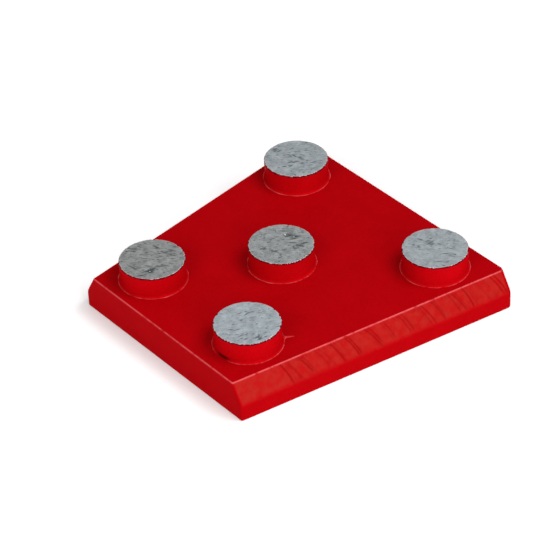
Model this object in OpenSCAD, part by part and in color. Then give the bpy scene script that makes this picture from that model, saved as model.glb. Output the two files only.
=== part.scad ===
// Grinding shoe with a dovetail wedge for a floor grinder's quick-change holder.
// A thick steel plate carries five round metal-bond diamond segments, each brazed into a shallow seat.
// Origin: centre of the underside. +Z: towards the segments. +Y: towards the wide end.
// All sizes are in millimetres.

/* [Plate] */
// Length of the plate, from the narrow end to the wide end
plate_length = 94; // [80:1:120]
// Width of the top face at the narrow end
narrow_width = 66; // [60:0.2:80]
// Width of the top face at the wide end
wide_width = 92.8; // [82:0.2:120]
// Thickness of the plate
plate_thickness = 12; // [9:0.5:16]

/* [Dovetail flanks] */
// Angle between a sloped flank and the underside
dovetail_angle = 60; // [45:1:75]
// Height of the sloped part of a flank, measured down from the top face
slope_height = 6.5; // [4:0.1:8]

/* [Segments] */
// Diameter of a segment
segment_d = 20; // [14:0.5:24]
// Height of a segment above the plate
segment_rise = 7; // [4:0.5:12]
// Thickness of the diamond-free foot layer of a segment
foot_thickness = 1.5; // [0.8:0.1:2.5]
// From the narrow end to the rims of its two segments
narrow_end_margin = 4.6; // [2.5:0.1:8]
// From the wide end to the rims of its two segments
wide_end_margin = 4.4; // [2.5:0.1:8]
// From the flank's top edge to the rim of a segment at the narrow end
narrow_flank_margin = 3.3; // [2:0.1:5]
// From the flank's top edge to the rim of a segment at the wide end
wide_flank_margin = 2.1; // [2:0.1:5]

/* [Segments, off their nominal places] */
// The seats are marked out by hand. How far the middle one lies off its place, along X and Y
center_off = [-1, 0]; // [-1.5:0.1:1.5]
// The left seat at the narrow end
narrow_left_off = [0.4, -0.8]; // [-1.5:0.1:1.5]
// The right seat at the narrow end
narrow_right_off = [-0.1, 0.8]; // [-1.5:0.1:1.5]
// The left seat at the wide end
wide_left_off = [-0.2, -0.4]; // [-1.5:0.1:1.5]
// The right seat at the wide end
wide_right_off = [-0.7, 0]; // [-1.5:0.1:1.5]

/* [Braze joints] */
// Depth of the round seat that locates a segment
seat_depth = 0.5; // [0.3:0.1:1.5]
// Gap between a segment and the wall of its seat, all round
seat_clearance = 0.2; // [0.1:0.05:0.3]
// Thickness of the braze film under a segment
film_thickness = 0.15; // [0.05:0.05:0.25]
// Leg of the braze fillet, along the plate and up the segment
fillet_leg = 0.8; // [0.5:0.1:1.5]

/* [Diamond grit] */
// Edge of a diamond crystal
crystal_size = 0.6; // [0.4:0.05:1]
// Crystals that show in the ground face of a segment
crystals_per_face = 16; // [4:1:24]

/* [Hidden] */

lacquer_red = [0.72, 0.03, 0.05];
ground_grey = [0.66, 0.70, 0.71];
diamond_grey = [0.30, 0.33, 0.34];

// Facets of a round that is worked out as a true curve.
round_fn = 96;
// How far a cutting tool runs past the face that it cuts.
overshoot = 2;

// The flanks close in by this angle on each side of the Y axis.
taper_angle = atan((wide_width - narrow_width) / 2 / plate_length);
// Horizontal reach of a sloped flank, square to the flank.
slope_reach = slope_height / tan(dovetail_angle);
// The same reach along X.
slope_reach_x = slope_reach / cos(taper_angle);

segment_r = segment_d / 2;
seat_floor = plate_thickness - seat_depth;
foot_bottom = seat_floor + film_thickness;
foot_top = foot_bottom + foot_thickness;
work_face = plate_thickness + segment_rise;

// Half of the top face's width at a place along the plate.
function half_width(y) = (narrow_width + wide_width) / 4 + y * tan(taper_angle);
// Distance from the middle plane at which a segment keeps its margin to the flank's top edge.
function segment_x(y, margin) = half_width(y) - (margin + segment_r) / cos(taper_angle);

narrow_y = -plate_length / 2 + narrow_end_margin + segment_r;
wide_y = plate_length / 2 - wide_end_margin - segment_r;
narrow_x = segment_x(narrow_y, narrow_flank_margin);
wide_x = segment_x(wide_y, wide_flank_margin);

// Places of the segments on the plate, each by its own name.
center_place = center_off;
narrow_left_place = [-narrow_x, narrow_y] + narrow_left_off;
narrow_right_place = [narrow_x, narrow_y] + narrow_right_off;
wide_left_place = [-wide_x, wide_y] + wide_left_off;
wide_right_place = [wide_x, wide_y] + wide_right_off;
places = [center_place, narrow_left_place, narrow_right_place, wide_left_place, wide_right_place];

// The crystals lie on a sunflower spiral: the golden angle from one to the next.
golden_angle = 180 * (3 - sqrt(5));
// Radius within which the crystals' centres lie.
crystal_reach = segment_r - 2 * crystal_size;
// Share of a crystal's edge that lies below the ground face.
crystal_bury = 0.35;
// Each face has its own seed, which turns its spiral and its crystals.
center_seed = 11;
narrow_left_seed = 23;
narrow_right_seed = 37;
wide_left_seed = 41;
wide_right_seed = 59;

// Base plate: outline of the underside, less the two sloped flanks and the five seats.
module base_plate() {
    color(lacquer_red)
    difference() {
        linear_extrude(plate_thickness) underside_outline();
        flank_cutter();
        mirror([1, 0, 0]) flank_cutter();
        for (place = places) seat_cutter(place);
    }
}

module underside_outline() {
    narrow_half = narrow_width / 2 + slope_reach_x;
    wide_half = wide_width / 2 + slope_reach_x;
    polygon([
        [-narrow_half, -plate_length / 2],
        [narrow_half, -plate_length / 2],
        [wide_half, plate_length / 2],
        [-wide_half, plate_length / 2]
    ]);
}

// Prism outside the right flank's slope: its section is square to the flank's top edge.
module flank_cutter() {
    over_reach = overshoot / tan(dovetail_angle);
    over_drop = overshoot * tan(dovetail_angle);
    translate([half_width(0), 0, plate_thickness])
    rotate([0, 0, -taper_angle])
    rotate([90, 0, 0])
    linear_extrude(2 * plate_length, center = true)
    polygon([
        [slope_reach + overshoot, -slope_height - over_drop],
        [slope_reach + overshoot, overshoot],
        [-over_reach, overshoot]
    ]);
}

module seat_cutter(place) {
    translate([place.x, place.y, seat_floor])
    cylinder(r = segment_r + seat_clearance, h = seat_depth + overshoot, $fn = round_fn);
}

// Diamond-bearing layer of a segment, with the pockets that its exposed crystals sit in.
module segment(place, seed) {
    color(ground_grey)
    difference() {
        translate([place.x, place.y, foot_top])
        cylinder(r = segment_r, h = work_face - foot_top, $fn = round_fn);
        crystals(place, seed);
    }
}

// Diamond-free layer that the braze holds.
module segment_foot(place) {
    color(lacquer_red)
    translate([place.x, place.y, foot_bottom])
    cylinder(r = segment_r, h = foot_thickness, $fn = round_fn);
}

// Braze: film under the foot, collar in the seat's gap, and a hollow fillet above the plate.
module braze_joint(place) {
    color(lacquer_red)
    translate([place.x, place.y, 0])
    rotate_extrude($fn = round_fn)
    union() {
        translate([0, seat_floor])
        square([segment_r + seat_clearance, film_thickness]);
        translate([segment_r, seat_floor])
        square([seat_clearance, seat_depth]);
        fillet_section();
    }
}

// Section of the fillet: a square corner, hollowed by an arc that meets both legs at a slight angle.
module fillet_section() {
    arc_r = 1.25 * fillet_leg;
    arc_centre = (fillet_leg + sqrt(2 * pow(arc_r, 2) - pow(fillet_leg, 2))) / 2;
    difference() {
        translate([segment_r, plate_thickness])
        square(fillet_leg);
        translate([segment_r + arc_centre, plate_thickness + arc_centre])
        circle(r = arc_r, $fn = round_fn);
    }
}

// Exposed crystals of one face, ground level with it.
module diamond_grit(place, seed) {
    color(diamond_grey) crystals(place, seed);
}

module crystals(place, seed) {
    turns = rands(0, 90, 3 * crystals_per_face, seed);
    intersection() {
        translate([place.x, place.y, 0])
        for (i = [0 : crystals_per_face - 1])
            rotate([0, 0, seed + i * golden_angle])
            translate([
                crystal_reach * sqrt((i + 0.5) / crystals_per_face),
                0,
                work_face - crystal_bury * crystal_size
            ])
            rotate([turns[3 * i], turns[3 * i + 1], turns[3 * i + 2]])
            cube(crystal_size, center = true);
        translate([place.x - segment_r, place.y - segment_r, work_face - 2 * crystal_size])
        cube([segment_d, segment_d, 2 * crystal_size]);
    }
}

base_plate();

segment(center_place, center_seed);  // segment_center
segment(narrow_left_place, narrow_left_seed);  // segment_narrow_left
segment(narrow_right_place, narrow_right_seed);  // segment_narrow_right
segment(wide_left_place, wide_left_seed);  // segment_wide_left
segment(wide_right_place, wide_right_seed);  // segment_wide_right

segment_foot(center_place);  // segment_foot_center
segment_foot(narrow_left_place);  // segment_foot_narrow_left
segment_foot(narrow_right_place);  // segment_foot_narrow_right
segment_foot(wide_left_place);  // segment_foot_wide_left
segment_foot(wide_right_place);  // segment_foot_wide_right

braze_joint(center_place);  // braze_joint_center
braze_joint(narrow_left_place);  // braze_joint_narrow_left
braze_joint(narrow_right_place);  // braze_joint_narrow_right
braze_joint(wide_left_place);  // braze_joint_wide_left
braze_joint(wide_right_place);  // braze_joint_wide_right

diamond_grit(center_place, center_seed);  // diamond_grit_center
diamond_grit(narrow_left_place, narrow_left_seed);  // diamond_grit_narrow_left
diamond_grit(narrow_right_place, narrow_right_seed);  // diamond_grit_narrow_right
diamond_grit(wide_left_place, wide_left_seed);  // diamond_grit_wide_left
diamond_grit(wide_right_place, wide_right_seed);  // diamond_grit_wide_right
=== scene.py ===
import math

import bmesh
import bpy
import numpy as np
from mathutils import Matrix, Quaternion, Vector, noise


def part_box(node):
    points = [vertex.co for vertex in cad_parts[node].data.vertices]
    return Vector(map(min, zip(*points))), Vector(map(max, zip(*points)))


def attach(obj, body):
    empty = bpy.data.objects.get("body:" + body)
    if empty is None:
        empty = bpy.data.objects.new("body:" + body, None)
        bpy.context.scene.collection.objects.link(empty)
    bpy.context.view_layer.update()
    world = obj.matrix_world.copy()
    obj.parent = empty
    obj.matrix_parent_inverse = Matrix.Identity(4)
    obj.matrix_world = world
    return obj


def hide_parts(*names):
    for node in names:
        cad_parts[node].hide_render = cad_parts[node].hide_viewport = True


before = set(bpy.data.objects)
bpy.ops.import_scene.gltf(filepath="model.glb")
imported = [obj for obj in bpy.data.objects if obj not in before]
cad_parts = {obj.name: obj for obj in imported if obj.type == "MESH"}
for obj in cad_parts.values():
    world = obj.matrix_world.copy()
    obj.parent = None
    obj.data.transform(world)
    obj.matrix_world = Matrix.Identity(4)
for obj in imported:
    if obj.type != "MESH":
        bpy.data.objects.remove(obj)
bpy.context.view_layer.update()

# ---------------------------------------------------------------------------
# Base plate. A laser-cut trapezoid of 12 mm steel whose two long flanks are milled to the
# dovetail's slope. The edges are dressed, five round seats are end-milled into the top face,
# and the whole shoe is sprayed with red lacquer after brazing.
# ---------------------------------------------------------------------------
MM = 0.001
# Points whose heights or places differ by less than this count as level.
same_place = 0.01 * MM

plate_lo, plate_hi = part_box("base_plate")
plate_points = [v.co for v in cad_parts["base_plate"].data.vertices]
narrow_end = [p for p in plate_points if p.y < plate_lo.y + same_place]
top_z = plate_hi.z
slope_foot_z = min(p.z for p in narrow_end if p.z > plate_lo.z + MM)
half_length = plate_hi.y
narrow_half = max(p.x for p in narrow_end)
wide_half = plate_hi.x
slope_reach = narrow_half - max(p.x for p in narrow_end if p.z > top_z - same_place)
slope_length = math.hypot(slope_reach, top_z - slope_foot_z)

PLACES = ["center", "narrow_left", "narrow_right", "wide_left", "wide_right"]
centres = {}
for place in PLACES:
    foot_lo, foot_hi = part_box("segment_foot_" + place)
    centres[place] = (foot_lo + foot_hi) / 2
segment_r = (foot_hi.x - foot_lo.x) / 2


def seat_of(place):
    """Radius and floor height of a seat: the widest and lowest of the braze that fills it."""
    points = [v.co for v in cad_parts["braze_joint_" + place].data.vertices]
    floor = min(p.z for p in points)
    radii = [(p - centres[place]).xy.length for p in points if p.z < floor + same_place]
    return max(radii), floor


def rounded_corner(before, corner, after, radius, steps):
    """Points of the arc that rounds one corner of a section."""
    before, corner, after = (np.array(p, float) for p in (before, corner, after))
    to_before = (before - corner) / np.linalg.norm(before - corner)
    to_after = (after - corner) / np.linalg.norm(after - corner)
    half_angle = math.acos(float(np.clip(to_before @ to_after, -1, 1))) / 2
    middle = (to_before + to_after) / np.linalg.norm(to_before + to_after)
    centre = corner + middle * radius / math.sin(half_angle)
    first = corner + to_before * radius / math.tan(half_angle) - centre
    last = corner + to_after * radius / math.tan(half_angle) - centre
    turn = math.pi - 2 * half_angle
    points = []
    for step in range(steps + 1):
        a = turn * step / steps
        points.append(centre + (first * math.sin(turn - a) + last * math.sin(a)) / math.sin(turn))
    return points


# The flank's section, from the underside up to the top face. Each point is (inset, height):
# the inset is measured along X from the underside's edge, so the taper leaves it unchanged.
foot_edge_r, slope_foot_r, top_edge_r = 0.5 * MM, 3.0 * MM, 0.34 * MM
inside = 3 * MM
below = (inside, 0)
heel = (0, 0)
slope_foot = (0, slope_foot_z)
brow = (slope_reach, top_z)
above = (slope_reach + inside, top_z)
heel_arc = rounded_corner(below, heel, slope_foot, foot_edge_r, 5)
foot_arc = rounded_corner(heel, slope_foot, brow, slope_foot_r, 6)
brow_arc = rounded_corner(slope_foot, brow, above, top_edge_r, 6)


def between(start, end, spacing):
    """Points strictly between two points of the section, about a spacing apart."""
    count = max(1, round(float(np.linalg.norm(end - start)) / spacing))
    return [start + (end - start) * k / count for k in range(1, count)]


section = np.array(
    heel_arc
    + between(heel_arc[-1], foot_arc[0], 0.8 * MM)
    + foot_arc
    + between(foot_arc[-1], brow_arc[0], 0.25 * MM)
    + brow_arc
)
inset, height = section[:, 0], section[:, 1]
slope_from = np.array(slope_foot)
slope_run = (np.array(brow) - slope_from) / slope_length
up_slope = (section - slope_from) @ slope_run
down_slope = slope_length - up_slope

# On the end faces the same section is a flat wall with its two edges rounded.
end_edge_r = 0.4 * MM
past_top = np.clip(height - (top_z - end_edge_r), 0, end_edge_r)
past_foot = np.clip(end_edge_r - height, 0, end_edge_r)
kept_top = np.sqrt(end_edge_r**2 - past_top**2)
kept_foot = np.sqrt(end_edge_r**2 - past_foot**2)
end_inset = 2 * end_edge_r - kept_top - kept_foot


def smooth(value, low, high):
    """0 below low, 1 above high, and an even S curve between."""
    t = np.clip((value - low) / (high - low), 0, 1)
    return t * t * (3 - 2 * t)


def waves(a, b, seed, pitch):
    """Slow unevenness between -1 and 1 over two coordinates."""
    shape = np.broadcast(a, b).shape
    a, b = (np.broadcast_to(v, shape).ravel() for v in (a, b))
    values = [noise.noise(Vector((p / pitch, q / pitch, seed))) for p, q in zip(a, b)]
    return np.array(values).reshape(shape)


def milling(along, down, seed):
    """Depth of the cutter's marks on a slope, and how dark they are painted, 0 to 1: pooled lacquer,
    with painted shade in the grooves.

    The cutter leaves shallow scallops with a leaning, slightly bowed groove between them.
    """
    rng = np.random.default_rng(seed)
    feed, first_mark = 5.8 * MM, 15.5 * MM
    groove_depth, groove_width, run_out = 0.05 * MM, 0.3 * MM, 1.6 * MM
    scallop_depth, wave_depth, chatter_depth = 0.03 * MM, 0.02 * MM, 0.008 * MM
    lean, bow = 0.62, 0.028 / MM
    swept = along - lean * down + bow * down**2
    depth = np.zeros_like(along)
    dark = np.zeros_like(along)
    start = first_mark
    while start < 2 * half_length:
        finer = 1 - 0.35 * start / (2 * half_length)
        place = start
        for strength in rng.choice([0.35, 0.6, 0.85, 1.0], rng.choice([1, 2, 2, 3])):
            reach = rng.uniform(0.9, 1.15) * slope_length
            width = groove_width * rng.uniform(0.8, 1.6) * finer
            aside = swept - place + rng.normal(0, 0.07) * down
            line = np.exp(-((aside / width) ** 2)) * (1 - smooth(down, reach - run_out, reach))
            depth += groove_depth * strength * line
            dark = np.maximum(dark, strength * line)
            place += rng.uniform(0.8, 1.5) * MM
        start += feed * rng.uniform(0.8, 1.2)
    scallop = np.abs(np.sin(math.pi * (swept - first_mark) / feed))
    milled = smooth(along, first_mark - 3 * MM, first_mark + 3 * MM)
    depth += scallop_depth * (1 - scallop) * milled
    # The scallops' hollows are painted a little darker too: painted shade.
    patchy = 0.5 + waves(along, down, seed + 2, 3 * MM)
    dark = np.maximum(dark, 0.3 * (1 - scallop) * milled * patchy)
    depth += wave_depth * (1 + waves(along, down, seed, 2.6 * MM))
    depth += chatter_depth * (1 + waves(swept, down * 0.15, seed + 5, 0.5 * MM)) * milled
    # A comb of fine lines runs in from the top edge.
    comb = smooth(waves(swept, down * 0.1, seed + 9, 0.55 * MM), 0.05, 0.4)
    dark = np.maximum(dark, 0.6 * comb * milled * (1 - smooth(down, 0.6 * MM, 2.2 * MM)))
    return depth, dark


# Walls of the plate: rows of the section, taken once round the outline.
narrow_corner_r, wide_corner_r = 0.5 * MM, 1.7 * MM
FLANK_ROWS = 450
taper = (wide_half - narrow_half) / (2 * half_length)
slope_band = smooth(down_slope, 0, 0.5 * MM) * smooth(up_slope, -0.6 * MM, 1.4 * MM)
slope_normal = np.array([slope_run[1], -slope_run[0]])


def half_width(y):
    """Half of the underside's width at a place along the plate."""
    return (narrow_half + wide_half) / 2 + taper * y


def flank_rows(side, seed):
    """Rows of points along a flank, from the narrow end to the wide end, and their marks."""
    y = np.linspace(-half_length + narrow_corner_r, half_length - wide_corner_r, FLANK_ROWS)[:, None]
    along = np.broadcast_to(y + half_length, (len(y), len(section)))
    depth, dark = milling(along, np.broadcast_to(down_slope, along.shape), seed)
    depth = depth * slope_band
    x = half_width(y) - inset - depth * slope_normal[0]
    z = height + depth * slope_normal[1]
    return np.stack([side * x, y + 0 * x, z + 0 * x], axis=2), dark * slope_band


def corner_rows(side, end, turns):
    """Rows round one upright corner of the plate; turn 0 is on the flank, 1 on the end face."""
    corner_r = wide_corner_r if end > 0 else narrow_corner_r
    rows = []
    for turn in turns:
        angle = turn * math.pi / 2
        y = end * (half_length - corner_r * (1 - math.sin(angle)) - end_inset * math.sin(angle))
        x = half_width(y) - inset - corner_r * (1 - math.cos(angle))
        rows.append(np.stack([side * x, y + 0 * x, height], axis=1))
    return np.array(rows)


def end_rows(end, columns, start_side):
    """Rows across an end face, from one side to the other."""
    corner_r = wide_corner_r if end > 0 else narrow_corner_r
    rows = []
    for across in np.linspace(start_side, -start_side, columns):
        y = end * (half_length - end_inset)
        x = across * (half_width(y) - inset - corner_r)
        rows.append(np.stack([x, y, height], axis=1))
    return np.array(rows)


corner_turns = np.linspace(0, 1, 9)[1:-1]
right_flank, right_marks = flank_rows(1, 19986)
left_flank, left_marks = flank_rows(-1, 8)
# Each part has its rows, its milling marks and how strong the painted highlight is along its top edge,
# with a little wear; it is strongest on the edges that face the lamps.
wall_parts = [
    (right_flank, right_marks, 1.0),
    (corner_rows(1, 1, corner_turns), None, 0.4),
    (end_rows(1, 64, 1), None, 0.1),
    (corner_rows(-1, 1, corner_turns[::-1]), None, 0.1),
    (left_flank[::-1], left_marks[::-1], 0.15),
    (corner_rows(-1, -1, corner_turns), None, 0.5),
    (end_rows(-1, 46, -1), None, 0.8),
    (corner_rows(1, -1, corner_turns[::-1]), None, 1.0),
]
walls = np.concatenate([rows for rows, _, _ in wall_parts])
marks = np.concatenate([np.zeros(rows.shape[:2]) if m is None else m for rows, m, _ in wall_parts])
milled_rows = np.concatenate([np.full(len(rows), m is not None) for rows, m, _ in wall_parts])
edge_highlight_rows = np.concatenate([np.full(len(rows), edge_highlight_share) for rows, _, edge_highlight_share in wall_parts])
brow_start = smooth(up_slope, slope_length - 0.5 * MM, slope_length - 0.1 * MM)
brow_share = brow_start * (height < top_z - 0.001 * MM)

plate_mesh = bmesh.new()
mark_layer = plate_mesh.verts.layers.float.new("groove")
# Where the top edges get a painted highlight, with a little wear.
edge_highlight_layer = plate_mesh.verts.layers.float.new("edge")
# Where the milled slopes get a painted sheen.
slope_sheen_layer = plate_mesh.verts.layers.float.new("milled")
wall_verts = []
for row, row_marks, is_milled, edge_highlight_share in zip(walls, marks, milled_rows, edge_highlight_rows):
    verts = []
    for point, mark, brow_part, milled_part in zip(row, row_marks, brow_share, slope_band * is_milled):
        vert = plate_mesh.verts.new(point)
        vert[mark_layer] = mark
        vert[edge_highlight_layer] = edge_highlight_share * brow_part
        vert[slope_sheen_layer] = milled_part
        verts.append(vert)
    wall_verts.append(verts)
for row, next_row in zip(wall_verts, wall_verts[1:] + wall_verts[:1]):
    for k in range(len(section) - 1):
        face = plate_mesh.faces.new((row[k], next_row[k], next_row[k + 1], row[k + 1]))
        face.smooth = True


def loop_edges(mesh, verts):
    """The closed chain of edges through these vertices."""
    edges = []
    for a, b in zip(verts, verts[1:] + verts[:1]):
        edges.append(mesh.edges.get((a, b)) or mesh.edges.new((a, b)))
    return edges


def circle_verts(mesh, centre, radius, z, count):
    """A ring of new vertices round a centre."""
    verts = []
    for k in range(count):
        angle = 2 * math.pi * k / count
        x = centre.x + radius * math.cos(angle)
        y = centre.y + radius * math.sin(angle)
        verts.append(mesh.verts.new((x, y, z)))
    return verts


SEAT_SIDES = 96
top_edges = loop_edges(plate_mesh, [row[-1] for row in wall_verts])
for place in PLACES:
    seat_r, seat_floor = seat_of(place)
    mouth = circle_verts(plate_mesh, centres[place], seat_r, top_z, SEAT_SIDES)
    floor = circle_verts(plate_mesh, centres[place], seat_r, seat_floor, SEAT_SIDES)
    top_edges += loop_edges(plate_mesh, mouth)
    for k in range(SEAT_SIDES):
        plate_mesh.faces.new((mouth[k], mouth[k - 1], floor[k - 1], floor[k]))
    plate_mesh.faces.new(floor)
bmesh.ops.triangle_fill(plate_mesh, use_beauty=True, edges=top_edges, normal=(0, 0, 1))
foot_edges = loop_edges(plate_mesh, [row[0] for row in wall_verts])
bmesh.ops.triangle_fill(plate_mesh, use_beauty=True, edges=foot_edges, normal=(0, 0, -1))
bmesh.ops.recalc_face_normals(plate_mesh, faces=plate_mesh.faces)


def new_piece(name, mesh_data, material, node_names):
    """A finished piece: it stands for its CAD nodes and rides on the one body."""
    piece = bpy.data.objects.new(name, mesh_data)
    bpy.context.scene.collection.objects.link(piece)
    mesh_data.materials.clear()
    mesh_data.materials.append(material)
    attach(piece, "root")
    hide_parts(*node_names)
    return piece


class Shade:
    """A socket of a shader tree. Arithmetic on it adds the Math node that does it."""

    def __init__(self, tree, socket=None):
        self.tree = tree
        self.socket = socket

    def add(self, kind, settings=None, inputs=None, output=0):
        """A new node: its settings first, then its sockets as values or links."""
        node = self.tree.nodes.new(kind)
        for name, value in (settings or {}).items():
            setattr(node, name, value)
        for name, value in (inputs or {}).items():
            if isinstance(value, Shade):
                self.tree.links.new(value.socket, node.inputs[name])
            else:
                node.inputs[name].default_value = value
        return Shade(self.tree, node.outputs[output] if len(node.outputs) else None)

    def maths(self, operation, first, second):
        """A Math node on two values."""
        return self.add("ShaderNodeMath", {"operation": operation}, {0: first, 1: second})

    def __add__(self, other):
        return self.maths("ADD", self, other)

    def __sub__(self, other):
        return self.maths("SUBTRACT", self, other)

    def __rsub__(self, other):
        return self.maths("SUBTRACT", other, self)

    def __mul__(self, other):
        return self.maths("MULTIPLY", self, other)

    __radd__ = __add__
    __rmul__ = __mul__

    def step(self, low, high):
        """0 below low, 1 above high, with a soft change between."""
        settings = {"interpolation_type": "SMOOTHSTEP"}
        inputs = {"Value": self, "From Min": low, "From Max": high}
        return self.add("ShaderNodeMapRange", settings, inputs)

    def mix(self, low, high):
        """A colour from low to high by this value."""
        settings = {"data_type": "RGBA"}
        return self.add("ShaderNodeMix", settings, {0: self, 6: low, 7: high}, 2)

    def grain(self, scale, detail=2.0, rough=0.5, offset=(0, 0, 0)):
        """Noise over this vector, with its scale per millimetre."""
        moved = self.add("ShaderNodeVectorMath", {"operation": "ADD"}, {0: self, 1: offset})
        inputs = {"Vector": moved, "Scale": scale, "Detail": detail, "Roughness": rough}
        return self.add("ShaderNodeTexNoise", {}, inputs)


def new_material(name):
    """An empty node material, with its tree and its object coordinates in millimetres."""
    material = bpy.data.materials.new(name)
    material.use_nodes = True
    material.node_tree.nodes.clear()
    tree = Shade(material.node_tree)
    place = tree.add("ShaderNodeTexCoord", output=3)
    millimetres = tree.add("ShaderNodeVectorMath", {"operation": "SCALE"}, {0: place, "Scale": 1 / MM})
    return material, tree, millimetres


def attribute(tree, name):
    """A value stored on the piece's own points."""
    return tree.add("ShaderNodeAttribute", {"attribute_name": name}, output=2)


def surface(tree, constants, links, bump=None):
    """Closes a material: one Principled shader, with a bump whose height is in millimetres."""
    inputs = {**constants, **links}
    if bump is not None:
        height_inputs = {"Height": bump, "Distance": MM, "Strength": 1.0}
        inputs["Normal"] = tree.add("ShaderNodeBump", {}, height_inputs)
    shader = tree.add("ShaderNodeBsdfPrincipled", {}, inputs)
    tree.add("ShaderNodeOutputMaterial", {}, {"Surface": shader})


# Tones of the coat: on the plate; a brighter copy on the segments and the braze, which is painted light
# for the stronger light their sides catch;
# a painted sheen on the milled slopes; a painted highlight along an edge, with a little wear; darker in
# a groove, pooled and with painted shade; and painted shade where a fillet is starved.
LACQUER_DEEP = (0.280, 0.0004, 0.0018, 1)
LACQUER_BRIGHT = (0.315, 0.0006, 0.0026, 1)
# The brighter copy of the coat for the segments and the braze: painted light.
LACQUER_LIT_ON_SEGMENTS = (0.325, 0.0006, 0.0022, 1), (0.365, 0.0008, 0.0030, 1)
# Lighter, greyer lacquer for the milled slopes: a painted sheen.
LACQUER_SLOPE_SHEEN = (0.285, 0.0110, 0.0085, 1)
# Lighter lacquer along edges: a painted highlight, with a little wear.
LACQUER_EDGE_HIGHLIGHT = (0.52, 0.085, 0.092, 1)
# Darker lacquer in the cutter's grooves: pooled coat, with painted shade.
LACQUER_POOLED_AND_SHADED = (0.19, 0.0005, 0.0014, 1)
# Near black for the starved places of a fillet: painted shade.
LACQUER_PAINTED_SHADE = (0.07, 0.0006, 0.0014, 1)
LACQUER_GLOSS = {"Specular IOR Level": 0.003, "IOR": 1.5}


def lacquer(tree, mm, deep=LACQUER_DEEP, bright=LACQUER_BRIGHT):
    """Colour, roughness and height of the sprayed coat."""
    cloud = mm.grain(0.09, 3.0, 0.6)
    spray = mm.grain(1.1, 2.0, 0.6, (31, 7, 3))
    peel = mm.grain(0.7, 1.0, 0.4, (5, 17, 2))
    wave = mm.grain(0.12, 1.0, 0.4, (3, 9, 21))
    nib = mm.grain(2.6, 0.0, 0.0, (9, 2, 4)).step(0.78, 0.86)
    tone = (cloud * 0.5 + spray * 0.5).step(0.3, 0.7)
    colour = tone.mix(deep, bright)
    # The milled slopes are painted lighter and greyer in patches: a painted sheen.
    sheen_patches = mm.grain(0.5, 3.0, 0.6, (7, 3, 1)).step(0.3, 0.7)
    colour = (attribute(tree, "milled") * (0.4 + 0.6 * sheen_patches)).mix(colour, LACQUER_SLOPE_SHEEN)
    # The cutter's marks are painted darker: pooled coat, with painted shade in the grooves.
    colour = (attribute(tree, "groove") * 0.9).mix(colour, LACQUER_POOLED_AND_SHADED)
    # Edges are painted lighter in broken stretches: a painted highlight, with a little wear.
    edge_highlight_mask = attribute(tree, "edge") * mm.grain(0.5, 3.0, 0.6, (2, 2, 8)).step(0.25, 0.55)
    colour = (edge_highlight_mask * 0.75).mix(colour, LACQUER_EDGE_HIGHLIGHT)
    # Painted shade where a fillet is starved.
    colour = (attribute(tree, "scorch") * 0.9).mix(colour, LACQUER_PAINTED_SHADE)
    roughness = 0.3 + 0.16 * spray + 0.1 * edge_highlight_mask
    bump = 0.012 * peel + 0.05 * wave + 0.02 * nib
    return colour, roughness, bump


def lacquer_material(name, *tones):
    """The lacquer by itself, over the whole of a piece."""
    material, tree, mm = new_material(name)
    colour, roughness, bump = lacquer(tree, mm, *tones)
    surface(tree, LACQUER_GLOSS, {"Base Color": colour, "Roughness": roughness}, bump)
    return material


red_lacquer = lacquer_material("red_lacquer")
plate_data = bpy.data.meshes.new("base_plate_dressed")
plate_mesh.to_mesh(plate_data)
plate_mesh.free()
new_piece("base_plate_dressed", plate_data, red_lacquer, ["base_plate"])

# ---------------------------------------------------------------------------
# Diamond segments. Each is a pressed and sintered puck of bronze-iron bond with diamond
# grit in it, on a layer without diamond. Its face is ground open, so it is bare grey metal
# with torn-out pits, whose near-black colour is painted shade; the lacquer on its side ends
# in a dark, ragged line on the rim.
# ---------------------------------------------------------------------------
work_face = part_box("segment_center")[1].z
layer_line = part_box("segment_center")[0].z
crystal_proud = 0.05 * MM
bond_face = work_face - crystal_proud
rim_width, rim_drop = 0.2 * MM, 0.14 * MM
press_mark, pocket_depth, scratch_depth = 0.03 * MM, 0.05 * MM, 0.012 * MM
CHIPS, LONE_MARKS = 14, 14
SECTORS = 288
sector_angles = np.linspace(0, 2 * math.pi, SECTORS, endpoint=False)

# How each face was ground: the way its scratches run, in degrees, and its own seed.
GRINDING = {
    "center": (60, 11),
    "narrow_left": (44, 23),
    "narrow_right": (70, 37),
    "wide_left": (52, 41),
    "wide_right": (38, 59),
}


def shell(name, rings, first_pole, last_pole, values):
    """A closed shell through rings of points, with a pole at each end.

    values holds named numbers, one array for all rings' points; the poles get 0.
    """
    rings = np.array(rings)
    count, around = rings.shape[:2]
    points = np.concatenate([rings.reshape(-1, 3), [first_pole, last_pole]])
    here = np.arange(around)
    after = (here + 1) % around
    faces = []
    for k in range(count - 1):
        a, b = k * around, (k + 1) * around
        faces += np.stack([a + here, b + here, b + after, a + after], axis=1).tolist()
    last = (count - 1) * around
    faces += [[count * around, i, j] for i, j in zip(here.tolist(), after.tolist())]
    faces += [[count * around + 1, last + j, last + i] for i, j in zip(here.tolist(), after.tolist())]
    data = bpy.data.meshes.new(name)
    data.from_pydata(points.tolist(), [], faces)
    for value_name, numbers in values.items():
        layer = data.attributes.new(value_name, "FLOAT", "POINT")
        layer.data.foreach_set("value", np.append(numbers, [0, 0]).astype(np.float32))
    data.shade_smooth()
    data.set_sharp_from_angle(angle=math.radians(35))
    data.update()
    return data


def ring_noise(angles, radius, level):
    """Unevenness between -1 and 1 round a ring; a larger radius makes it finer."""
    values = [noise.noise(Vector((math.cos(a) * radius, math.sin(a) * radius, level))) for a in angles]
    return np.array(values)


def side_swell(place, angles, z):
    """How far a segment's side stands in from its true radius: shallow marks of the press."""
    level = GRINDING[place][1] + z / (4 * MM)
    return press_mark * (ring_noise(angles, 2.2, level) - 1)


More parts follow.
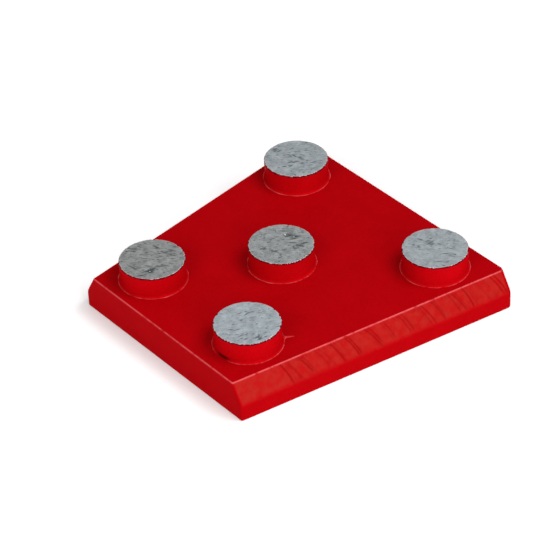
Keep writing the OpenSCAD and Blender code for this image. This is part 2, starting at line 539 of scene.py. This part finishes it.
def scatter(rng, count, radius, apart):
    """Places inside a circle, none nearer to another than a given distance."""
    places = []
    while len(places) < count:
        x, y = rng.uniform(-radius, radius, 2)
        if math.hypot(x, y) < radius and all(math.hypot(x - a, y - b) > apart for a, b in places):
            places.append((x, y))
    return places


def turned_away(angles, heading):
    """Angle of each place round a ring from one heading, the shorter way round."""
    return np.abs((angles - heading + math.pi) % (2 * math.pi) - math.pi)


def ring_points(centre, radii, angles, z):
    """One ring of points; the radii and heights may change round it."""
    x = centre.x + radii * np.cos(angles)
    y = centre.y + radii * np.sin(angles)
    return np.stack([x, y, z + 0 * x], axis=1)


# Torn-out marks that lie together on a face, in millimetres along and across the grinding:
# middle, spread, count, lean in degrees, size, and how long they are for their width.
CLUSTERS = {
    "center": [
        (3, 3, 2, 10, 0, 1.0, 2.2),
        (-5.5, -1, 0.6, 3, 20, 1.2, 1),
        (7, -2, 0.7, 3, -10, 1.1, 1.5),
        (-1, -4, 3, 7, 0, 0.9, 1.5),
    ],
    "narrow_left": [
        (0.2, -5.5, 0.7, 6, 35, 1.4, 1.6),
        (5, 4, 1.4, 8, 0, 1.1, 1.3),
        (-2, 1, 3.8, 14, 0, 0.8, 3),
    ],
    "narrow_right": [
        (0.8, -7.4, 0.7, 6, 50, 0.9, 1.8),
        (-3, -5.5, 1.2, 4, 0, 0.9, 1),
        (0, 2, 4, 8, 0, 0.6, 3),
    ],
    "wide_left": [
        (-5.5, 5.5, 0.9, 8, 15, 1.2, 1),
        (0, 0, 2.5, 6, 0, 0.9, 1.5),
        (-1, -3, 0.8, 4, 10, 1.0, 1.3),
        (0, 0, 4, 7, 0, 0.6, 3),
    ],
    "wide_right": [(-3.5, 2.5, 2, 14, 0, 0.8, 1.2), (2, -3, 4, 7, 0, 0.55, 3)],
}
# How far each face has gone dull since it was ground.
DULLED = {"center": 0.75, "narrow_left": 1.0, "narrow_right": 0.0, "wide_left": 0.3, "wide_right": 0.28}


def segment_mesh(place, crystals):
    """The diamond layer of one segment: pitted face, chipped rim and slightly uneven side."""
    grind, seed = GRINDING[place]
    centre = centres[place]
    rng = np.random.default_rng(seed)
    chips = np.zeros(SECTORS)
    for _ in range(CHIPS):
        middle, width = rng.uniform(0, 2 * math.pi), rng.uniform(0.02, 0.06)
        away = turned_away(sector_angles, middle)
        chips = np.maximum(chips, rng.uniform(0.1, 0.3) * MM * np.exp(-((away / width) ** 2)))
    ragged = 0.08 * MM * rng.random(SECTORS) + chips
    rim_r = segment_r - rim_width - ragged
    shares = np.concatenate([np.linspace(0.01, 0.95, 56), np.linspace(0.965, 1, 4)])
    face = np.array([ring_points(centre, share * rim_r, sector_angles, bond_face) for share in shares])
    across = face[:, :, :2] - np.array(centre.xy)
    angle = math.radians(grind)
    u = across[..., 0] * math.cos(angle) + across[..., 1] * math.sin(angle)
    v = across[..., 1] * math.cos(angle) - across[..., 0] * math.sin(angle)
    depth = np.zeros_like(u)
    pit = np.zeros_like(u)
    for x, y, size in crystals:
        away = np.hypot(across[..., 0] - x, across[..., 1] - y) / (0.75 * size)
        depth += pocket_depth * np.exp(-(away**2))
        pit = np.maximum(pit, 0.35 * np.exp(-(away**4)))
    lone_places = scatter(rng, LONE_MARKS, radius=segment_r - 0.7 * MM, apart=0.6 * MM)
    marks = [(x, y, 0, 0.7, 1) for x, y in lone_places]
    for x, y, spread, count, lean, size, stretch in CLUSTERS[place]:
        spots = rng.normal(0, spread, (count, 2)) + (x, y)
        marks += [(a * MM, b * MM, math.radians(lean), size, stretch) for a, b in spots]
    for x, y, lean, size, stretch in marks:
        width = size * rng.uniform(0.24, 0.4) * MM
        length = stretch * size * rng.uniform(0.4, 0.85) * MM
        lean += rng.normal(0, 0.3)
        du, dv = u - x, v - y
        along = (du * math.cos(lean) + dv * math.sin(lean)) / length
        aside = (dv * math.cos(lean) - du * math.sin(lean)) / width
        hole = np.exp(-((along**2 + aside**2) ** 1.5))
        depth += rng.uniform(0.05, 0.14) * MM * hole
        pit = np.maximum(pit, rng.uniform(0.7, 1) * hole)
    depth += scratch_depth * (1 + waves(u * 0.12, v, seed, 0.45 * MM))
    face[..., 2] -= depth
    face[-1, :, 2] -= ragged * 0.3
    rings = list(face)
    for share in (0.35, 0.75, 1.0):
        radii = rim_r + (segment_r - rim_r + side_swell(place, sector_angles, work_face)) * share
        rim_z = bond_face - rim_drop * share**2 - ragged * 0.4
        rings.append(ring_points(centre, radii, sector_angles, rim_z))
    for z in np.linspace(bond_face - 0.6 * MM, layer_line, 12):
        radii = segment_r + side_swell(place, sector_angles, z)
        rings.append(ring_points(centre, radii, sector_angles, z))
    rest = np.zeros((len(rings) - len(face), SECTORS))
    rim = np.zeros((len(rings), SECTORS))
    rim[len(face) - 1 : len(face) + 2] = 1
    side = np.concatenate([0 * pit, 1 + rest])
    values = {
        "pit": np.concatenate([pit, rest]).ravel(),
        "side": side.ravel(),
        "dull": np.full(side.size, DULLED[place]),
        "rim": rim.ravel(),
        "grind_u": np.concatenate([u / MM, rest]).ravel(),
        "grind_v": np.concatenate([v / MM, rest]).ravel(),
    }
    first_pole = (centre.x, centre.y, face[0, :, 2].mean())
    last_pole = (centre.x, centre.y, layer_line)
    return shell("segment_" + place, rings, first_pole, last_pole, values)


# Starved places of the fillet round a foot, darkened with painted shade: (degrees round the segment,
# width in degrees, strength).
STARVED_SHADE_SPOTS = {"narrow_right": [(-86, 13, 1.4)], "wide_left": [(-120, 8, 0.35)], "center": [(-128, 12, 0.4)]}


def bulge(angles, spots):
    """Sum of smooth bumps round a ring, each by its heading, width and size."""
    total = np.zeros_like(angles)
    for degrees, width, size in spots:
        away = np.degrees(turned_away(angles, math.radians(degrees)))
        total += size * np.exp(-((away / width) ** 2))
    return total


def foot_mesh(place):
    """The layer without diamond, between the braze and the diamond layer."""
    foot_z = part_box("segment_foot_" + place)[0].z
    centre = centres[place]
    rings = [ring_points(centre, segment_r / 2, sector_angles, layer_line)]
    wall_heights = np.linspace(layer_line, foot_z, 7)
    for z in wall_heights:
        radii = segment_r + side_swell(place, sector_angles, z)
        rings.append(ring_points(centre, radii, sector_angles, z))
    rings.append(ring_points(centre, segment_r / 2, sector_angles, foot_z))
    poles = (centre.x, centre.y, layer_line), (centre.x, centre.y, foot_z)
    low = smooth(wall_heights, layer_line, layer_line - 0.3 * MM)
    # Painted shade low on the foot beside a starved fillet.
    starved_shade = np.zeros((len(rings), SECTORS))
    starved_shade[1:-1] = low[:, None] * np.clip(bulge(sector_angles, STARVED_SHADE_SPOTS.get(place, [])), 0, 1)
    return shell("foot_" + place, rings, *poles, {"scorch": starved_shade.ravel()})


BOND_DARK = (0.250, 0.283, 0.303, 1)
BOND_LIGHT = (0.437, 0.486, 0.514, 1)
DULL_DARK = (0.170, 0.177, 0.175, 1)
DULL_LIGHT = (0.360, 0.370, 0.365, 1)
# Near black for pits, pores, tears and rim notches: painted shade in these hollows.
BOND_HOLLOW_SHADE = (0.030, 0.038, 0.042, 1)
BOND_RIM = (0.52, 0.53, 0.53, 1)
# A dark ragged line just under the rim.
DARK_RIM_LINE = (0.055, 0.002, 0.006, 1)


def segment_material():
    """Bare ground bond on the face, lacquer on the side, and a dark ragged line between."""
    material, tree, mm = new_material("sintered_bond")
    # The segment's side wears the brighter copy of the coat, which is painted light.
    colour, roughness, bump = lacquer(tree, mm, *LACQUER_LIT_ON_SEGMENTS)

    def ground(along, across):
        """Coordinates along and across the grinding, each with its own scale."""
        parts = {"X": attribute(tree, "grind_u") * along, "Y": attribute(tree, "grind_v") * across}
        return tree.add("ShaderNodeCombineXYZ", {}, parts)

    scratch = ground(0.3, 2.4).grain(1.0, 4.0, 0.65)
    torn = ground(0.75, 2.4).grain(1.0, 2.0, 0.55, (3, 8, 2))
    cluster = mm.grain(0.16, 2.0, 0.6, (1, 4, 9))
    tear = (torn + 0.35 * cluster).step(0.77, 0.86)
    blotch = mm.grain(0.4, 4.0, 0.65, (11, 3, 6))
    pore = mm.grain(1.9, 1.0, 0.5, (4, 12, 1)).step(0.64, 0.74)
    pit = attribute(tree, "pit")
    tone = (blotch * 0.55 + scratch * 0.45).step(0.32, 0.68)
    dull = attribute(tree, "dull")
    bare = tone.mix(dull.mix(BOND_DARK, DULL_DARK), dull.mix(BOND_LIGHT, DULL_LIGHT))
    # Pores, tears and pits are painted near black: painted shade in the hollows.
    bare = (pore * (0.2 + 0.25 * dull)).mix(bare, BOND_HOLLOW_SHADE)
    bare = (tear * (0.3 + 0.5 * dull)).mix(bare, BOND_HOLLOW_SHADE)
    bare = (pit * 0.95).mix(bare, BOND_HOLLOW_SHADE)
    broken = mm.grain(1.1, 2.0, 0.7, (6, 6, 3))
    rim = attribute(tree, "rim")
    bare = (rim * (0.25 + 0.55 * broken.step(0.35, 0.6))).mix(bare, BOND_RIM)
    # Dark notches along the rim: painted shade.
    bare = (rim * (1 - broken.step(0.3, 0.4)) * 0.8).mix(bare, BOND_HOLLOW_SHADE)
    level = tree.add("ShaderNodeSeparateXYZ", {}, {0: mm}, 2)
    drop = bond_face / MM - level
    ragged = mm.grain(1.6, 3.0, 0.7, (8, 1, 13))
    under_rim = drop - 0.6 * ragged + 0.25
    painted = under_rim.step(-0.03, 0.02) * attribute(tree, "side").step(0.3, 0.9)
    # A dark ragged line just under the rim.
    jagged = mm.grain(1.0, 1.0, 0.6, (14, 2, 5))
    dark_rim_mask = painted * (1 - (under_rim - 0.9 * jagged + 0.3).step(0.1, 0.4))
    colour = (dark_rim_mask * 0.9).mix(colour, DARK_RIM_LINE)
    colour = painted.mix(bare, colour)
    bare_rough = 0.38 + 0.2 * blotch + 0.2 * pit
    links = {
        "Base Color": colour,
        "Roughness": bare_rough + painted * (roughness - bare_rough),
        "Metallic": (1 - painted) * 0.55 - pit * 0.2,
    }
    bare_bump = 0.03 * scratch + 0.03 * blotch - 0.05 * pore
    surface(tree, LACQUER_GLOSS, links, bare_bump + painted * (bump - bare_bump))
    return material


sintered_bond = segment_material()
# The feet wear the brighter copy of the coat, which is painted light.
foot_lacquer = lacquer_material("foot_lacquer", *LACQUER_LIT_ON_SEGMENTS)
CRYSTALS_SHOWN, CRYSTAL_WIDTHS = 34, (0.34, 0.6)
crystal_places = {}
for place in PLACES:
    crystal_rng = np.random.default_rng(GRINDING[place][1] + 100)
    sites = scatter(crystal_rng, CRYSTALS_SHOWN, radius=segment_r - 0.8 * MM, apart=0.9 * MM)
    crystal_places[place] = [(x, y, crystal_rng.uniform(*CRYSTAL_WIDTHS) * MM) for x, y in sites]
    face_data = segment_mesh(place, crystal_places[place])
    new_piece("segment_face_" + place, face_data, sintered_bond, ["segment_" + place])
    heel_data = foot_mesh(place)
    new_piece("segment_heel_" + place, heel_data, foot_lacquer, ["segment_foot_" + place])

# ---------------------------------------------------------------------------
# Diamond grit. Blocky synthetic crystals, 30/50 mesh, held by the bond and standing just
# proud of it. Each is a cube with its corners cut by an octahedron.
# ---------------------------------------------------------------------------
FULL_TURN = 6.283
CORNER_CUT = 1.5
# Edge of a crystal's cube, as a share of the crystal's width.
EDGE_SHARE = 0.72


def crystal_tree():
    """Geometry nodes that set one turned, sized crystal on every point."""
    tree = bpy.data.node_groups.new("diamond_crystals", "GeometryNodeTree")
    face = tree.interface
    face.new_socket("Geometry", in_out="INPUT", socket_type="NodeSocketGeometry")
    corner = face.new_socket("Corner cut", in_out="INPUT", socket_type="NodeSocketFloat")
    corner.default_value = CORNER_CUT
    seed = face.new_socket("Seed", in_out="INPUT", socket_type="NodeSocketInt")
    seed.default_value = 1
    face.new_socket("Finish", in_out="INPUT", socket_type="NodeSocketMaterial")
    face.new_socket("Geometry", in_out="OUTPUT", socket_type="NodeSocketGeometry")

    def node(kind, inputs, **settings):
        """A new node: its settings first, then its sockets as values or links."""
        made = tree.nodes.new(kind)
        for name, value in settings.items():
            setattr(made, name, value)
        for name, value in inputs.items():
            if isinstance(value, bpy.types.NodeSocket):
                tree.links.new(value, made.inputs[name])
            else:
                made.inputs[name].default_value = value
        return made

    given = node("NodeGroupInput", {}).outputs
    cube = node("GeometryNodeMeshCube", {"Size": (1, 1, 1)}).outputs[0]
    double = node("GeometryNodeDualMesh", {0: cube}).outputs[0]
    spread = node("ShaderNodeCombineXYZ", {k: given["Corner cut"] for k in "XYZ"}).outputs[0]
    octahedron = node("GeometryNodeTransform", {"Geometry": double, "Scale": spread}).outputs[0]
    cut = node("GeometryNodeMeshBoolean", {}, operation="INTERSECT")
    for solid in (cube, octahedron):
        tree.links.new(solid, cut.inputs["Mesh 2"])
    turn_inputs = {"Max": (FULL_TURN, FULL_TURN, FULL_TURN), "Seed": given["Seed"]}
    turn = node("FunctionNodeRandomValue", turn_inputs, data_type="FLOAT_VECTOR").outputs[0]
    turned = node("FunctionNodeEulerToRotation", {0: turn}).outputs[0]
    size = node("GeometryNodeInputNamedAttribute", {"Name": "crystal_size"}).outputs["Attribute"]
    placed = {
        "Points": given["Geometry"],
        "Instance": cut.outputs[0],
        "Rotation": turned,
        "Scale": size,
    }
    crystals = node("GeometryNodeInstanceOnPoints", placed).outputs[0]
    real = node("GeometryNodeRealizeInstances", {0: crystals}).outputs[0]
    coated = {"Geometry": real, "Material": given["Finish"]}
    node("NodeGroupOutput", {0: node("GeometryNodeSetMaterial", coated).outputs[0]})
    return tree


def grit_material():
    """Grey-green synthetic diamond, cloudy inside, with bright facets."""
    material, tree, mm = new_material("diamond")
    cloud = mm.grain(1.4, 2.0, 0.6).step(0.3, 0.7)
    colour = cloud.mix((0.10, 0.115, 0.10, 1), (0.42, 0.45, 0.38, 1))
    constants = {"IOR": 2.42, "Specular IOR Level": 0.5}
    surface(tree, constants, {"Base Color": colour, "Roughness": 0.12 + 0.25 * cloud}, 0.01 * cloud)
    return material


diamond = grit_material()
crystals_on_points = crystal_tree()
input_names = {}
for item in crystals_on_points.interface.items_tree:
    if item.in_out == "INPUT":
        input_names[item.name] = item.identifier


def grit_mesh(place):
    """The crystals of one face as one plain mesh."""
    centre = centres[place]
    crystals = crystal_places[place]
    points = bpy.data.meshes.new("grit_points")
    middles = [(centre.x + x, centre.y + y, work_face - size / 2) for x, y, size in crystals]
    points.from_pydata(middles, [], [])
    sizes = points.attributes.new("crystal_size", "FLOAT", "POINT")
    sizes.data.foreach_set("value", [size * EDGE_SHARE for _, _, size in crystals])
    carrier = bpy.data.objects.new("grit_carrier", points)
    bpy.context.scene.collection.objects.link(carrier)
    modifier = carrier.modifiers.new("crystals", "NODES")
    modifier.node_group = crystals_on_points
    modifier[input_names["Seed"]] = GRINDING[place][1]
    modifier[input_names["Corner cut"]] = CORNER_CUT
    modifier[input_names["Finish"]] = diamond
    graph = bpy.context.evaluated_depsgraph_get()
    grown = bpy.data.meshes.new_from_object(carrier.evaluated_get(graph), depsgraph=graph)
    bpy.data.objects.remove(carrier)
    return grown


for place in PLACES:
    new_piece("grit_" + place, grit_mesh(place), diamond, ["diamond_grit_" + place])

# ---------------------------------------------------------------------------
# Braze joints. Silver solder runs in under each foot, fills the seat's gap and leaves a thin
# hollow fillet, uneven where the flux boiled and with a blob or a short run here and there.
# Painted shade darkens the starved places of a fillet, and a painted highlight runs along its toe.
# ---------------------------------------------------------------------------
BRAZE_SECTORS = 216
braze_angles = np.linspace(0, 2 * math.pi, BRAZE_SECTORS, endpoint=False)

# Faults that show under the lacquer: (degrees round the segment, width in degrees, height).
BLOBS = {
    "center": [(-95, 5, 0.5), (-60, 4, 0.4), (10, 6, 0.3)],
    "narrow_left": [(-17, 4, 0.8), (150, 6, 0.4)],
    "narrow_right": [(-19, 3, 0.9), (-27, 3, 0.6), (55, 4, 0.7), (120, 6, 0.3)],
    "wide_left": [(-70, 6, 0.6), (-80, 4, 0.5), (-15, 6, 0.3)],
    "wide_right": [(-50, 5, 0.3), (170, 7, 0.4)],
}
# Thin runs of solder out over the plate: (degrees, width in degrees, length in mm).
RUNS = {"narrow_right": [(59, 1.7, 3.4)]}
# Height of a run for its length.
RUN_SWELL = 0.06


def braze_mesh(place):
    """Film, collar and fillet of one joint, as one closed ring-built solid."""
    centre = centres[place]
    seed = GRINDING[place][1]
    seat_r, seat_floor = seat_of(place)
    foot_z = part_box("segment_foot_" + place)[0].z
    leg_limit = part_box("braze_joint_" + place)[1].z - top_z
    uneven = ring_noise(braze_angles, 3, seed)
    fine = ring_noise(braze_angles, 11, seed + 9)
    blobs = bulge(braze_angles, BLOBS[place])
    starved_shade = np.clip(bulge(braze_angles, STARVED_SHADE_SPOTS.get(place, [])), 0, 1)
    run = bulge(braze_angles, RUNS.get(place, [])) * MM
    leg = leg_limit * np.clip(0.78 + 0.12 * uneven + 0.07 * fine + 0.15 * blobs - 0.55 * starved_shade, 0.12, 1)
    fillet = []
    for turn in np.linspace(0, math.pi / 2, 9):
        out = (leg + run) * (1 - math.sin(turn)) ** 1.15
        up = leg * (1 - math.cos(turn)) ** 1.15
        swell = blobs * 0.3 * leg * math.sin(2 * turn)
        run_up = run * RUN_SWELL * math.sin(2 * turn)
        z = top_z + up + swell + run_up
        fillet.append(ring_points(centre, segment_r + out + swell, braze_angles, z))
    hidden_r = segment_r - 0.04 * MM
    rings = [
        ring_points(centre, segment_r / 2, braze_angles, seat_floor),
        ring_points(centre, seat_r, braze_angles, seat_floor),
        ring_points(centre, seat_r, braze_angles, top_z),
        *fillet,
        ring_points(centre, hidden_r, braze_angles, top_z + leg),
        ring_points(centre, hidden_r, braze_angles, foot_z),
        ring_points(centre, segment_r / 2, braze_angles, foot_z),
    ]
    toe_highlight = np.zeros((len(rings), BRAZE_SECTORS))
    on_run = np.clip(run / MM, 0, 1)
    # A painted highlight along the fillet's toe, weaker where the fillet is starved; a run gets a
    # fainter one.
    lit_toe = np.clip(0.65 + 0.8 * fine + 0.7 * uneven + 0.5 * blobs, 0, 1)
    toe_highlight[3:5] = lit_toe * (1 - starved_shade) * (1 - 0.5 * on_run)
    toe_highlight[4:8] = np.maximum(toe_highlight[4:8], 0.45 * on_run)
    scorch = np.zeros((len(rings), BRAZE_SECTORS))
    scorch[5:] = starved_shade
    values = {"edge": toe_highlight.ravel(), "scorch": scorch.ravel()}
    poles = (centre.x, centre.y, seat_floor), (centre.x, centre.y, foot_z)
    return shell("braze_" + place, rings, *poles, values)


# The braze wears the brighter copy of the coat, which is painted light.
braze_lacquer = lacquer_material("braze_lacquer", *LACQUER_LIT_ON_SEGMENTS)
for place in PLACES:
    joint_data = braze_mesh(place)
    new_piece("braze_fillet_" + place, joint_data, braze_lacquer, ["braze_joint_" + place])

# ---------------------------------------------------------------------------
# Studio. A pale floor, a high soft box to the right, two low ones that face the right flank
# and the narrow end, and an even white room.
# ---------------------------------------------------------------------------
scene = bpy.context.scene
scene.view_settings.view_transform = "Standard"


def floor_material():
    """Matt pale paper, a little uneven."""
    material, tree, mm = new_material("studio_floor")
    tone = mm.grain(0.01, 2.0, 0.5).mix((0.86, 0.86, 0.86, 1), (0.90, 0.90, 0.90, 1))
    surface(tree, {"Specular IOR Level": 0.1, "Roughness": 0.85}, {"Base Color": tone})
    return material


floor_data = bpy.data.meshes.new("studio_floor")
floor_half = 4.0
floor_corners = [(x * floor_half, y * floor_half, 0) for x, y in ((-1, -1), (1, -1), (1, 1), (-1, 1))]
floor_data.from_pydata(floor_corners, [], [(0, 1, 2, 3)])
floor_data.materials.append(floor_material())
floor = bpy.data.objects.new("studio_floor", floor_data)
scene.collection.objects.link(floor)


def soft_box(name, heading, elevation, distance, size, strength):
    """A square lamp that faces the origin; heading is from +X towards +Y, in degrees."""
    lamp = bpy.data.lights.new(name, "AREA")
    lamp.shape = "SQUARE"
    lamp.size = size
    lamp.energy = strength
    box = bpy.data.objects.new(name, lamp)
    a, e = math.radians(heading), math.radians(elevation)
    away = Vector((math.cos(e) * math.cos(a), math.cos(e) * math.sin(a), math.sin(e)))
    box.location = away * distance
    box.rotation_mode = "QUATERNION"
    box.rotation_quaternion = away.to_track_quat("Z", "Y")
    scene.collection.objects.link(box)


soft_box("key_box", 40, 58, 0.8, 0.42, 3.95)
soft_box("front_box", -8, 20, 0.9, 0.5, 5.0)
soft_box("end_box", -70, 30, 0.9, 0.5, 4.2)

room = bpy.data.worlds.new("white_room")
room.use_nodes = True
room.node_tree.nodes["Background"].inputs["Color"].default_value = (1, 1, 1, 1)
room.node_tree.nodes["Background"].inputs["Strength"].default_value = 0.53
scene.world = room

# ---------------------------------------------------------------------------
# Camera: a long lens from the flank's side of the narrow end.
# ---------------------------------------------------------------------------
camera_data = bpy.data.cameras.new("camera")
camera_data.lens = 169.5
camera_data.sensor_width = 36
camera = bpy.data.objects.new("camera", camera_data)
camera.location = Vector((494.3, -393.7, 489.0)) * MM
aim = Vector((4.0, -5.0, 10.8)) * MM
roll = math.radians(-2.44)
camera.rotation_mode = "QUATERNION"
look = (aim - camera.location).to_track_quat("-Z", "Y")
camera.rotation_quaternion = look @ Quaternion((0, 0, 1), roll)
scene.collection.objects.link(camera)
scene.camera = camera
